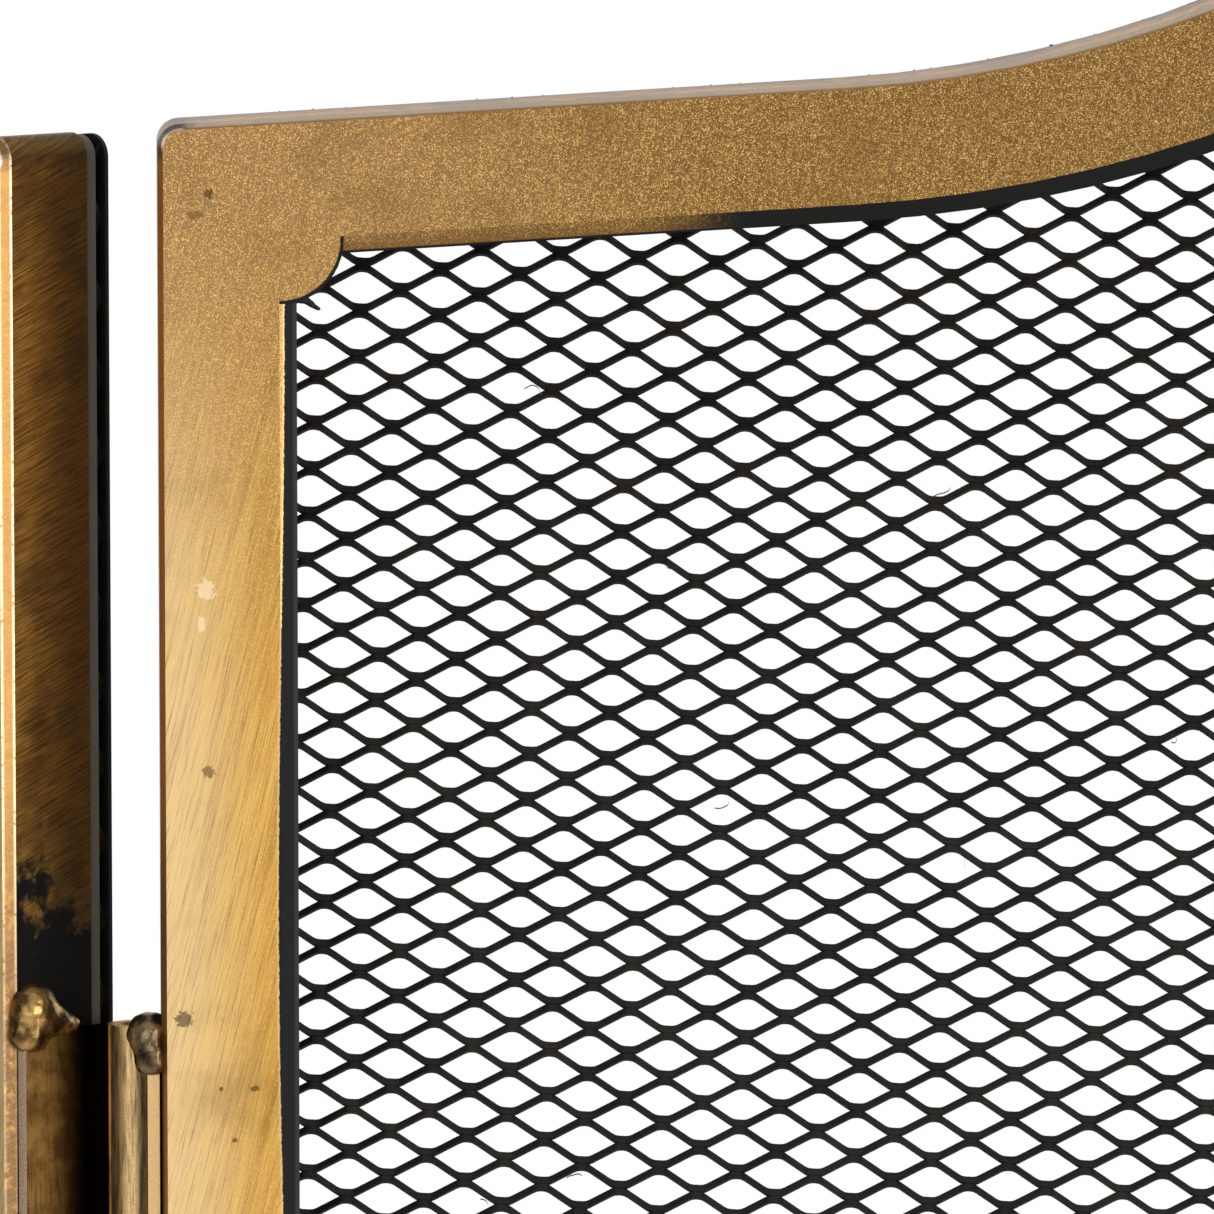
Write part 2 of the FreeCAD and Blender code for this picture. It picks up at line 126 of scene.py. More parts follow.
class Shader:
    """Adds nodes to one material or world."""

    def __init__(self, tree):
        self.tree = tree
        tree.nodes.clear()

    def add(self, kind, inputs=None, **settings):
        """A new node with its settings and inputs. An input is a value, or a socket to link."""
        node = self.tree.nodes.new(kind)
        for name, value in settings.items():
            setattr(node, name, value)
        for name, value in (inputs or {}).items():
            socket = node.inputs[name]
            if isinstance(value, bpy.types.NodeSocket):
                self.tree.links.new(value, socket)
            elif value is not None:
                socket.default_value = value
        return node

    def math(self, operation, a, b=None, clamp=False):
        """One arithmetic step on numbers."""
        node = self.add("ShaderNodeMath", {0: a, 1: b}, operation=operation, use_clamp=clamp)
        return node.outputs[0]

    def vector(self, operation, a, b=None, scale=None):
        """One step on vectors."""
        inputs = {0: a, 1: b}
        if scale is not None:
            inputs["Scale"] = scale
        return self.add("ShaderNodeVectorMath", inputs, operation=operation).outputs[0]

    def step(self, value, low, high, smooth=True):
        """0 below low and 1 above high. Falls instead where low is the larger."""
        kind = "SMOOTHSTEP" if smooth else "LINEAR"
        if not isinstance(low, bpy.types.NodeSocket) and low > high:
            inputs = {"Value": value, "From Min": high, "From Max": low, "To Min": 1.0, "To Max": 0.0}
        else:
            inputs = {"Value": value, "From Min": low, "From Max": high}
        return self.add("ShaderNodeMapRange", inputs, interpolation_type=kind).outputs[0]

    def both(self, *masks):
        """The product of masks."""
        product = masks[0]
        for mask in masks[1:]:
            product = self.math("MULTIPLY", product, mask)
        return product

    def either(self, *masks):
        """The largest of masks."""
        largest = masks[0]
        for mask in masks[1:]:
            largest = self.math("MAXIMUM", largest, mask)
        return largest

    def inverse(self, mask):
        """1 minus a mask."""
        return self.math("SUBTRACT", 1.0, mask)

    def mix(self, factor, a, b, blend="MIX"):
        """Two colours mixed."""
        node = self.add("ShaderNodeMix", data_type="RGBA", blend_type=blend)
        for index, value in ((0, factor), (6, a), (7, b)):
            socket = node.inputs[index]
            if isinstance(value, bpy.types.NodeSocket):
                self.tree.links.new(value, socket)
            else:
                socket.default_value = (*value, 1) if isinstance(value, tuple) else value
        return node.outputs[2]

    def blend(self, factor, a, b):
        """Two numbers mixed."""
        node = self.add("ShaderNodeMix", {0: factor, 2: a, 3: b}, data_type="FLOAT")
        return node.outputs[0]

    def noise(self, vector, scale, detail=2.0, roughness=0.5, distortion=0.0):
        """Smooth noise around 0.5."""
        inputs = {"Vector": vector, "Scale": scale, "Detail": detail,
                  "Roughness": roughness, "Distortion": distortion}
        return self.add("ShaderNodeTexNoise", inputs).outputs["Fac"]

    def cells(self, vector, scale):
        """A random number for each small cell."""
        node = self.add("ShaderNodeTexVoronoi", {"Vector": vector, "Scale": scale})
        return self.parts(node.outputs["Color"])[0]

    def parts(self, vector):
        """A vector's x, y and z."""
        return self.add("ShaderNodeSeparateXYZ", {0: vector}).outputs

    def join(self, x, y, z):
        """A vector of three numbers."""
        return self.add("ShaderNodeCombineXYZ", {0: x, 1: y, 2: z}).outputs[0]

    def place(self, panel):
        """Position in millimetres and normal, both in a panel's own coordinates."""
        here = self.add("ShaderNodeTexCoord").outputs
        position, normal = here["Object"], here["Normal"]
        if panel.side:
            position = self.vector("SUBTRACT", position, tuple(panel.pivot))
            position = self.turned(position, -panel.turn)
            position = self.vector("ADD", position, (0, panel.pivot.y, 0))
            normal = self.turned(normal, -panel.turn)
        return self.vector("SCALE", position, scale=1 / MM), normal

    def turned(self, vector, angle):
        """A vector turned about Z."""
        inputs = {"Vector": vector, "Angle": angle}
        return self.add("ShaderNodeVectorRotate", inputs, rotation_type="Z_AXIS").outputs[0]

    def bump(self, height, strength, distance):
        """A normal from a height in millimetres."""
        inputs = {"Height": height, "Strength": strength, "Distance": distance * MM}
        return self.add("ShaderNodeBump", inputs).outputs[0]

    def surface(self, **inputs):
        """The principled surface and the material's output."""
        names = {name.replace("_", " "): value for name, value in inputs.items()}
        shader = self.add("ShaderNodeBsdfPrincipled", names)
        self.add("ShaderNodeOutputMaterial", {"Surface": shader.outputs[0]})


def new_material(name):
    """An empty material and the helper that fills it."""
    material = bpy.data.materials.new(name)
    material.use_nodes = True
    return material, Shader(material.node_tree)


def finish_node(node, material):
    """Gives a carried-over CAD node its material."""
    data = frame["nodes"][node].data
    data.materials.clear()
    data.materials.append(material)


# ---------------------------------------------------------------- brass finish

RAIL_BRASS = (0.228, 0.110, 0.035)
CORNER_BRASS = (0.335, 0.178, 0.076)
STILE_BRASS = (0.62, 0.325, 0.062)
HIGHLIGHT_BRASS = (0.84, 0.64, 0.36)
SMUDGE = (0.20, 0.105, 0.028)
SIDE_BRASS = (0.33, 0.152, 0.030)
SIDE_LIGHT = (0.69, 0.377, 0.089)
SIDE_SHADE = (0.115, 0.048, 0.013)
BEVEL_BROWN = (0.40, 0.20, 0.07)
BEVEL_LIGHT = (0.56, 0.31, 0.12)
BEVEL_SKY_REFLECTION = (0.80, 0.68, 0.54)
BEVEL_MOTTLE = (0.15, 0.092, 0.058)
DARK_LINE_AND_SHADE_BROWN = (0.21, 0.09, 0.024)
WORN_AND_LIT_BRASS = (0.57, 0.31, 0.105)
BRIGHT_EDGE = (1.0, 0.86, 0.58)
DARK_SPECK = (0.085, 0.045, 0.018)
GOLD_SPECK = (0.86, 0.58, 0.18)
BARE_STEEL = (0.92, 0.90, 0.87)
GRIME = (0.070, 0.050, 0.034)
PATINA_AND_SHADE = (0.0025, 0.002, 0.0015)
PAINT = (0.004, 0.004, 0.004)
PAINT_HIGHLIGHT = (0.030, 0.030, 0.031)
CHIP = (0.88, 0.68, 0.42)

# The black margin beside the opening: its mean width, how far and how often it swells, and where most.
MARGIN = 3.1
MARGIN_WAVE = 0.85
MARGIN_PERIOD = 270.0
MARGIN_WIDEST = 600.0
MARGIN_RAGGED = 0.9
# On the middle panel's top rail, paint covers the whole inner bevel out to about this far from x = 0.
WRAP_END = 262.0
WRAP_FADE = 26.0
WRAP_RAGGED = 16.0
GUSSET_RADIUS = 14.0
TUBE_FRONT = -12.5
FRAME_FACE = 30.0
# A side panel's hinge stile lies within this of x = 0, and its outer stile beyond.
HINGE_STILE_WITHIN = 100
# How far each tone reaches: the painted highlight in from the side, in from the corner, and up from the
# upper hinge.
HIGHLIGHT_REACH = 24.0
CORNER_REACH = 130.0
HINGE_MOTTLE = 70.0
# The patina past a hinge's ends: where it stops, where it is full, how ragged it is, and across.
HINGE_PATINA = 44.0
PATINA_SOLID = 26.0
PATINA_CLOUD = 90.0
PATINA_ACROSS = 12.0
PATINA_FADE = 5.0
STREAK_LEAN = math.radians(14)
SIDE_STREAK_RISE = math.radians(20)
MARK_STRENGTH = 0.75
MARK_RAGGED = 2.2

# Marks on the middle panel's left stile: across and down from its outer top corner, half sizes, colour.
MARKS = [
    (11.0, 13.4, 1.3, 1.1, DARK_SPECK),
    (8.2, 17.9, 1.9, 1.2, SMUDGE),
    (10.0, 99.6, 2.3, 2.7, CHIP),
    (9.1, 106.9, 0.9, 2.2, CHIP),
    (10.6, 139.3, 1.6, 1.5, SMUDGE),
    (4.9, 193.5, 2.2, 2.0, GRIME),
    (20.2, 209.0, 1.0, 0.8, DARK_SPECK),
    (12.8, 209.0, 0.6, 0.6, DARK_SPECK),
    (15.9, 220.3, 0.8, 0.6, DARK_SPECK),
]


def streaks(s, position, lean, across, along):
    """Fine drawn lines in the front face, leaning right of upright."""
    x, y, z = s.parts(position)
    cos, sin = math.cos(lean), math.sin(lean)
    over = s.math("SUBTRACT", s.math("MULTIPLY", x, cos), s.math("MULTIPLY", z, sin))
    up = s.math("ADD", s.math("MULTIPLY", x, sin), s.math("MULTIPLY", z, cos))
    drawn = s.join(s.math("MULTIPLY", over, across), s.math("MULTIPLY", y, across),
                   s.math("MULTIPLY", up, along))
    return s.noise(drawn, 1.0, detail=3.0, roughness=0.6)


def side_streaks(s, position, rise):
    """Fine drawn lines across a side face, rising towards the back."""
    x, y, z = s.parts(position)
    cos, sin = math.cos(rise), math.sin(rise)
    over = s.math("SUBTRACT", s.math("MULTIPLY", z, cos), s.math("MULTIPLY", y, sin))
    along = s.math("ADD", s.math("MULTIPLY", z, sin), s.math("MULTIPLY", y, cos))
    drawn = s.join(s.math("MULTIPLY", x, 0.2), s.math("MULTIPLY", along, 0.10),
                   s.math("MULTIPLY", over, 3.0))
    return s.noise(drawn, 1.0, detail=3.0, roughness=0.65)


def distance_from(s, a, centre_a, b, centre_b):
    """The distance from a point in the plane of coordinates a and b."""
    da = s.math("SUBTRACT", a, float(centre_a))
    db = s.math("SUBTRACT", b, float(centre_b))
    return s.math("SQRT", s.math("ADD", s.math("MULTIPLY", da, da), s.math("MULTIPLY", db, db)))


def nearest(s, distances):
    """The smallest of several distances."""
    least = distances[0]
    for distance in distances[1:]:
        least = s.math("MINIMUM", least, distance)
    return least


def frame_sides(panel):
    """Where a panel's frame begins and ends across."""
    across = panel.points(f"{panel.name}_bottom_rail")[:, 0]
    return float(across.min()), float(across.max())


def top_corners(panel):
    """The outer top corners of a panel's frame, as (x, z)."""
    low, high = frame_sides(panel)
    corners = []
    for node in SLOT_OF:
        if node.startswith(panel.name) and node.endswith("stile") and "backing" not in node:
            points = panel.points(node)
            on_left = points[:, 0].mean() < (low + high) / 2
            corners.append((low if on_left else high, float(points[:, 2].max())))
    return corners


def edge_gap(s, panel, x):
    """The distance in from the nearer side of a panel's frame."""
    low, high = frame_sides(panel)
    return s.math("MINIMUM", s.math("SUBTRACT", x, low), s.math("SUBTRACT", high, x))


def gusset_centres(panel):
    """The centres of a panel's four round corner gussets, as (x, z)."""
    points = panel.points(f"{panel.name}_gussets")
    middle_x = (points[:, 0].min() + points[:, 0].max()) / 2
    middle_z = (points[:, 2].min() + points[:, 2].max()) / 2
    centres = []
    for right in (False, True):
        for top in (False, True):
            near = points[((points[:, 0] > middle_x) == right) & ((points[:, 2] > middle_z) == top)]
            x = near[:, 0].min() + GUSSET_RADIUS if right else near[:, 0].max() - GUSSET_RADIUS
            z = near[:, 2].min() + GUSSET_RADIUS if top else near[:, 2].max() - GUSSET_RADIUS
            centres.append((x, z))
    return centres


def opening_edge(panel, node):
    """The distance from x = 0 to the edge of a stile that borders the opening."""
    spread = np.abs(panel.points(node)[:, 0])
    on_hinge = panel.side and spread.mean() < HINGE_STILE_WITHIN
    return float(spread.max() if on_hinge else spread.min())


def inner_bevel(s, facing):
    """Where a tube's inner bevel is."""
    return s.both(s.step(facing, 0.85, 0.90), s.step(facing, 0.975, 0.955))


def margin_masks(s, node, panel, position, facing):
    """Where black paint covers the opening's margin, a painted highlight on its inner lip, and a painted
    highlight line on the brass beside it.
    """
    x, y, z = s.parts(position)
    bevel = inner_bevel(s, facing)
    ragged = s.noise(position, 1.7, detail=3.0, roughness=0.7)
    lip = s.both(bevel, s.step(y, -11.55, -11.35))
    if "gusset" in node:
        least = nearest(s, [distance_from(s, x, cx, z, cz) for cx, cz in gusset_centres(panel)])
        edge = s.math("ADD", least, s.math("MULTIPLY", ragged, 0.5))
        return s.step(edge, GUSSET_RADIUS - 0.65, GUSSET_RADIUS - 0.45), None, None
    if "rail" in node:
        if "bottom" in node or panel.side:
            return bevel, lip, None
        reach = s.math("ADD", s.math("ABSOLUTE", x), s.math("MULTIPLY", ragged, WRAP_RAGGED))
        wrapped = s.both(bevel, s.step(reach, WRAP_END, WRAP_END - WRAP_FADE))
        return s.either(wrapped, s.both(bevel, s.step(y, -11.38, -11.25))), None, None
    inner = opening_edge(panel, node)
    distance = s.math("ABSOLUTE", s.math("SUBTRACT", s.math("ABSOLUTE", x), inner))
    turn = s.math("MULTIPLY", s.math("SUBTRACT", z, MARGIN_WIDEST), 2 * math.pi / MARGIN_PERIOD)
    limit = s.math("ADD", s.math("MULTIPLY", s.math("COSINE", turn), MARGIN_WAVE), MARGIN)
    limit = s.math("ADD", limit, s.math("MULTIPLY", ragged, MARGIN_RAGGED))
    beyond = s.math("SUBTRACT", distance, limit)
    front = s.step(facing, 0.5, 0.6)
    painted = s.both(s.step(beyond, 0.10, -0.10), front)
    line = s.both(s.step(beyond, 0.55, 0.25), front)
    return painted, lip, line


def hinge_patina(s, panel, position):
    """The black patina on the hinge side of a stile, around each hinge."""
    x, _, z = s.parts(position)
    cloud = s.noise(position, 0.09, detail=5.0, roughness=0.62)
    levels = []
    for level in ("upper", "lower"):
        low, high = (v.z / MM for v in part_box(f"left_{level}_hinge_pin"))
        away = s.math("ABSOLUTE", s.math("SUBTRACT", z, (low + high) / 2))
        away = s.math("SUBTRACT", away, (high - low) / 2)
        away = s.math("ADD", away, s.math("MULTIPLY", s.math("SUBTRACT", cloud, 0.5), PATINA_CLOUD))
        levels.append(s.step(away, HINGE_PATINA, PATINA_SOLID))
    hinge_x = 0 if panel.side else abs(PANELS["left"].pivot.x) / MM
    from_hinge = s.math("ABSOLUTE", s.math("SUBTRACT", s.math("ABSOLUTE", x), hinge_x))
    return s.both(s.either(*levels), s.step(from_hinge, PATINA_ACROSS, PATINA_ACROSS - PATINA_FADE))


def front_colour(s, panel, position, stile_share, lines, grain, cloud):
    """Brass on the front: speckled on the rails, drawn down the stiles, and lighter towards the frame's
    sides there in a painted highlight.
    """
    x = s.parts(position)[0]
    broad = streaks(s, position, STREAK_LEAN, 0.45, 0.010)
    flecks = s.cells(position, 5.5)
    corner_share = s.step(edge_gap(s, panel, x), CORNER_REACH, FRAME_FACE)
    base = s.mix(stile_share, s.mix(corner_share, RAIL_BRASS, CORNER_BRASS), STILE_BRASS)
    # Lighter along the frame's outer edge down the stiles: a painted highlight of the key lamp.
    lit_edge = s.step(edge_gap(s, panel, x), HIGHLIGHT_REACH, 0.0)
    base = s.mix(s.both(lit_edge, stile_share, 0.8), base, HIGHLIGHT_BRASS)
    base = s.mix(s.both(s.step(broad, 0.45, 0.70), stile_share, 0.25), base, GOLD_SPECK)
    base = s.mix(s.both(s.step(broad, 0.48, 0.30), stile_share, 0.25), base, DARK_LINE_AND_SHADE_BROWN)
    line_share = s.blend(stile_share, 0.20, 0.62)
    base = s.mix(s.both(s.step(lines, 0.50, 0.68), line_share), base, GOLD_SPECK)
    base = s.mix(s.both(s.step(lines, 0.48, 0.30), line_share), base, DARK_LINE_AND_SHADE_BROWN)
    speck_share = s.blend(stile_share, 1.0, 0.45)
    base = s.mix(s.both(s.step(grain, 0.50, 0.28), speck_share), base, DARK_SPECK)
    base = s.mix(s.both(s.step(flecks, 0.66, 0.98), speck_share), base, GOLD_SPECK)
    return s.mix(s.both(s.step(cloud, 0.50, 0.72), 0.35), base, SMUDGE)


def side_colour(s, position, cloud):
    """Darker drawn brass on the sides of the tubes."""
    y = s.parts(position)[1]
    side_lines = side_streaks(s, position, SIDE_STREAK_RISE)
    side = s.mix(s.step(side_lines, 0.38, 0.64), SIDE_BRASS, SIDE_LIGHT)
    side = s.mix(s.both(s.step(side_lines, 0.42, 0.28), 0.8), side, DARK_SPECK)
    # Darker towards the back of the side face: painted shade.
    side = s.mix(s.both(s.step(y, -8.0, 11.0), 0.62), side, SIDE_SHADE)
    return s.mix(s.both(s.step(cloud, 0.50, 0.66), 0.55), side, DARK_SPECK)


def bevel_colour(s, panel, position, upward, grain):
    """The outer bevel: brown, with a painted reflection of the bright room where it faces up. On a side
    panel it is lighter, partly polish and partly painted light, and its two edges are bright, partly wear
    and partly painted highlight.
    """
    _, y, z = s.parts(position)
    if not panel.side:
        brown = s.mix(s.step(grain, 0.45, 0.70), BEVEL_BROWN, BEVEL_LIGHT)
        # Lighter where the bevel faces up: a painted reflection of the bright room above.
        sky_reflection = s.both(s.step(upward, 0.3, 0.7), s.step(y, -12.3, -11.0))
        return s.mix(sky_reflection, brown, BEVEL_SKY_REFLECTION)
    # Lighter than the middle panel's bevel because it faces the lamps: partly polish, partly painted light.
    worn_and_lit = s.mix(s.step(grain, 0.50, 0.30), WORN_AND_LIT_BRASS, SMUDGE)
    hinge_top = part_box("left_upper_hinge_pin")[1].z / MM
    mottle = s.step(s.noise(position, 0.5, detail=4.0, roughness=0.7), 0.34, 0.52)
    near_hinge = s.step(z, hinge_top + HINGE_MOTTLE, hinge_top)
    worn_and_lit = s.mix(s.both(mottle, near_hinge, 0.85), worn_and_lit, BEVEL_MOTTLE)
    # Bright lines along both edges of the bevel: partly wear, partly painted highlight.
    edges = s.either(s.step(y, -11.75, -12.25), s.step(y, -10.2, -9.75))
    breaks = s.step(s.noise(position, 0.7, detail=3.0, roughness=0.7), 0.34, 0.44)
    return s.mix(s.both(edges, breaks, s.blend(near_hinge, 1.0, 0.25)), worn_and_lit, BRIGHT_EDGE)


def corner_wear(s, panel, position, outer_bevel, colour):
    """Grime where the top corners were ground round, and bare steel along the bevel's front edge."""
    x, y, z = s.parts(position)
    least = nearest(s, [distance_from(s, x, cx, z, cz) for cx, cz in top_corners(panel)])
    patchy = s.noise(position, 0.55, detail=4.0, roughness=0.7)
    least = s.math("ADD", least, s.math("MULTIPLY", s.math("SUBTRACT", patchy, 0.5), 7.0))
    edge = s.both(s.step(y, -11.2, -11.9), outer_bevel)
    outside = s.step(y, -12.2, -11.8)
    colour = s.mix(s.both(s.step(least, 7.5, 4.0), outside, 0.45 if panel.side else 0.85), colour, GRIME)
    return s.mix(s.both(s.step(least, 5.0, 3.6), edge, 0.6), colour, BARE_STEEL)


def placed_marks(s, position, ragged, colour):
    """The few larger chips and smudges on the middle panel's left stile."""
    x, _, z = s.parts(position)
    low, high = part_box("centre_left_stile")
    for across, down, half_x, half_z, tone in MARKS:
        a = s.math("DIVIDE", s.math("SUBTRACT", x, low.x / MM + across), half_x)
        b = s.math("DIVIDE", s.math("SUBTRACT", z, high.z / MM - down), half_z)
        size = distance_from(s, a, 0, b, 0)
        size = s.math("ADD", size, s.math("MULTIPLY", s.math("SUBTRACT", ragged, 0.5), MARK_RAGGED))
        colour = s.mix(s.both(s.step(size, 0.95, 0.70), MARK_STRENGTH), colour, tone)
    return colour


def brass(node):
    """Antique brass over steel tube, with drawn lines, speckle, patina, wear and a black margin."""
    panel = panel_of(node)
    material, s = new_material(f"brass_{node}")
    position, normal = s.place(panel)
    _, y, z = s.parts(position)
    facing = s.math("MULTIPLY", s.parts(normal)[1], -1.0)
    upward = s.parts(normal)[2]
    front = s.step(facing, 0.45, 0.80)
    outer_bevel = s.both(s.step(facing, 0.15, 0.30), s.step(facing, 0.50, 0.40))
    high = top_corners(panel)[0][1]
    stile_share = s.step(z, high - 8.0, high - 135.0)
    lines = streaks(s, position, STREAK_LEAN, 4.5, 0.08)
    grain = s.noise(position, 6.0, detail=2.0, roughness=0.65)
    cloud = s.noise(position, 0.035, detail=4.0, roughness=0.6)
    ragged = s.noise(position, 1.1, detail=4.0, roughness=0.7)

    colour = s.mix(front, side_colour(s, position, cloud),
                   front_colour(s, panel, position, stile_share, lines, grain, cloud))
    colour = s.mix(s.both(outer_bevel, 0.85), colour, bevel_colour(s, panel, position, upward, grain))
    colour = corner_wear(s, panel, position, outer_bevel, colour)
    pits = s.step(s.noise(position, 0.33, detail=4.0, roughness=0.75), 0.70, 0.76)
    colour = s.mix(s.both(pits, 0.7), colour, DARK_SPECK)
    if node == "centre_left_stile":
        colour = placed_marks(s, position, ragged, colour)

    patina = s.both(hinge_patina(s, panel, position), s.step(facing, 0.34, 0.22))
    colour = s.mix(patina, colour, PATINA_AND_SHADE)
    painted, lip, line = margin_masks(s, node, panel, position, facing)
    # A thin painted highlight on the brass beside the black margin.
    if line is not None:
        colour = s.mix(s.both(line, 0.45), colour, HIGHLIGHT_BRASS)
    elif "rail" in node:
        # The back of the rail's inner bevel darkens to brown: painted shade. The same brown also marks the
        # dark drawn lines on the front.
        shaded_back = s.step(y, TUBE_FRONT, TUBE_FRONT + 1.3)
        colour = s.mix(s.both(inner_bevel(s, facing), shaded_back, 0.55), colour, DARK_LINE_AND_SHADE_BROWN)
    colour = s.mix(painted, colour, PAINT)
    # A painted highlight on the black paint's inner lip.
    if lip is not None:
        colour = s.mix(s.both(lip, painted), colour, PAINT_HIGHLIGHT)

    metallic = s.math("MULTIPLY", s.blend(patina, 0.94, 0.1), s.inverse(painted))
    roughness = s.blend(s.noise(position, 0.8, detail=3.0), 0.32, 0.48)
    roughness = s.blend(s.either(painted, patina), roughness, 0.55)
    height = s.math("ADD", s.math("MULTIPLY", grain, 0.5), s.math("MULTIPLY", lines, 0.5))
    s.surface(Base_Color=colour, Metallic=metallic, Roughness=roughness, Specular_IOR_Level=0.22,
              Normal=s.bump(height, 0.35, 0.10))
    return material


# ---------------------------------------------------------------- black parts

BAR_DARK = (0.10, 0.088, 0.070)
BAR_LIGHT = (0.17, 0.145, 0.115)
CLAMP_DARK = (0.003, 0.003, 0.003)
CLAMP_LIGHT = (0.007, 0.007, 0.007)
BAR_RUST = (0.075, 0.034, 0.014)
MESH_DARK = (0.007, 0.007, 0.008)
MESH_LIGHT = (0.018, 0.015, 0.011)
MESH_RUST = (0.045, 0.026, 0.014)


def black_bar(node):
    """Satin black enamel on the flat bars and the clamp frame behind the tubes."""
    panel = panel_of(node)
    material, s = new_material(f"black_{node}")
    position, _ = s.place(panel)
    cloud = s.noise(position, 0.06, detail=4.0)
    grain = s.noise(position, 2.2, detail=3.0, roughness=0.65)
    rust = s.both(s.step(s.noise(position, 0.22, detail=6.0, roughness=0.7), 0.66, 0.76), 0.6)
    dark, light = (CLAMP_DARK, CLAMP_LIGHT) if "clamp" in node else (BAR_DARK, BAR_LIGHT)
    colour = s.mix(cloud, dark, light)
    colour = s.mix(rust, colour, BAR_RUST)
    roughness = s.blend(grain, 0.36, 0.56)
    s.surface(Base_Color=colour, Roughness=roughness, Specular_IOR_Level=0.4,
              Normal=s.bump(grain, 0.4, 0.15))
    return material


def black_mesh(panel):
    """Satin black enamel on the expanded metal, browner in places."""
    material, s = new_material(f"black_mesh_{panel.name}")
    position, _ = s.place(panel)
    patch = s.noise(position, 0.05, detail=5.0, roughness=0.6)
    grain = s.noise(position, 2.6, detail=2.0, roughness=0.6)
    colour = s.mix(s.step(patch, 0.42, 0.64), MESH_DARK, MESH_LIGHT)
    colour = s.mix(s.both(s.step(grain, 0.60, 0.74), 0.4), colour, MESH_RUST)
    roughness = s.blend(grain, 0.30, 0.50)
    s.surface(Base_Color=colour, Roughness=roughness, Specular_IOR_Level=0.35,
              Normal=s.bump(grain, 0.5, 0.12))
    return material


# ---------------------------------------------------------------- hinge metals

LEAF_DARK = (0.30, 0.15, 0.042)
LEAF_LIGHT = (0.62, 0.36, 0.10)
BARREL_DARK = (0.30, 0.20, 0.11)
BARREL_LIGHT = (0.92, 0.64, 0.29)
CENTRE_LEAF_EDGE = (0.76, 0.50, 0.20)
SIDE_LEAF_EDGE = (1.0, 0.84, 0.70)
LEAF_EDGE_DARK = (0.52, 0.36, 0.24)
HINGE_GLANCE = (0.40, 0.30, 0.20, 1)


def hinge_metal(node):
    """Worn dark brass on a hinge: brighter on the barrel and the leaf's front edge, a painted highlight, and
    going black inward in painted shade.
    """
    panel = panel_of(node)
    material, s = new_material(f"hinge_{node}")
    position, normal = s.place(panel)
    x, y, z = s.parts(position)
    axis_x = 0.0 if panel.side else PANELS[node.split("_")[0]].pivot.x / MM
    axis_y = PANELS["left"].pivot.y / MM
    leaf_low, leaf_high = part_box("left_upper_hinge_centre_leaf")
    radius = (leaf_high.x - leaf_low.x) / 2 / MM
    barrel = s.step(distance_from(s, x, axis_x, y, axis_y), radius + 0.5, radius + 0.2)
    front_edge = s.step(s.parts(normal)[1], -0.6, -0.8)

    drawn = s.join(s.math("MULTIPLY", x, 1.3), s.math("MULTIPLY", y, 1.3), s.math("MULTIPLY", z, 0.10))
    rubbed = s.noise(drawn, 1.0, detail=4.0, roughness=0.65)
    cloud = s.noise(position, 0.16, detail=5.0, roughness=0.65)
    grain = s.noise(position, 3.2, detail=3.0, roughness=0.65)
    flat = s.mix(s.step(cloud, 0.35, 0.65), LEAF_DARK, LEAF_LIGHT)
    flat = s.mix(s.both(s.step(rubbed, 0.48, 0.34), 0.5), flat, DARK_SPECK)
    # Black towards the back of the leaf: painted shade.
    flat = s.mix(s.step(y, -4.0, 8.0), flat, PATINA_AND_SHADE)
    # The barrel's bright tone is painted light.
    rounded = s.mix(s.step(rubbed, 0.30, 0.60), BARREL_DARK, BARREL_LIGHT)
    rounded = s.mix(s.both(s.step(grain, 0.46, 0.34), 0.5), rounded, DARK_SPECK)
    # The leaf's front edge is brightened, most on a side panel: painted highlight.
    edge_tone = SIDE_LEAF_EDGE if panel.side else CENTRE_LEAF_EDGE
    edge = s.mix(s.step(grain, 0.54, 0.38), edge_tone, LEAF_EDGE_DARK)
    colour = s.mix(barrel, flat, rounded)
    colour = s.mix(s.both(front_edge, s.inverse(barrel)), colour, edge)
    s.surface(Base_Color=colour, Metallic=0.9, Roughness=s.blend(grain, 0.30, 0.50),
              Specular_IOR_Level=0.3, Specular_Tint=HINGE_GLANCE, Normal=s.bump(grain, 0.5, 0.15))
    return material


def weld_metal(name, dark, light):
    """Lumpy weld metal under the brass finish."""
    material, s = new_material(name)
    position = s.vector("SCALE", s.add("ShaderNodeTexCoord").outputs["Object"], scale=1 / MM)
    cloud = s.noise(position, 0.22, detail=3.0, roughness=0.5)
    grain = s.noise(position, 2.5, detail=3.0, roughness=0.6)
    colour = s.mix(s.step(cloud, 0.32, 0.66), dark, light)
    colour = s.mix(s.both(s.step(grain, 0.60, 0.74), 0.4), colour, BRIGHT_EDGE)
    s.surface(Base_Color=colour, Metallic=0.92, Roughness=s.blend(cloud, 0.16, 0.34),
              Specular_IOR_Level=0.5, Normal=s.bump(grain, 0.4, 0.2))
    return material


# ---------------------------------------------------------------- expanded metal

# Along a row, a strand rises and falls once in each long way. Rows meet where it lies flat.
LONG_WAY = 17.24
ROW_PITCH = 5.04
STRAND_WIDTH = 1.72
STRAND_THICK = 0.95
STRAND_TILT = math.radians(42)
BOND_OVERLAP = 0.05
BOND_DEPTH = 0.485
VALLEY_FLAT = 3.0
PEAK_FLAT = 2.0
BEND = 1.45
EDGE_ROW = 2.6
BAR_BACK = 15.5
# The angle in degrees of the middle panel's rows, and how far along and up they start.
CENTRE_ROWS = (-3.55, -2.21, 4.02)
UPRIGHT = 90
LEFT_PHASE = 5.0
RIGHT_PHASE = 11.0


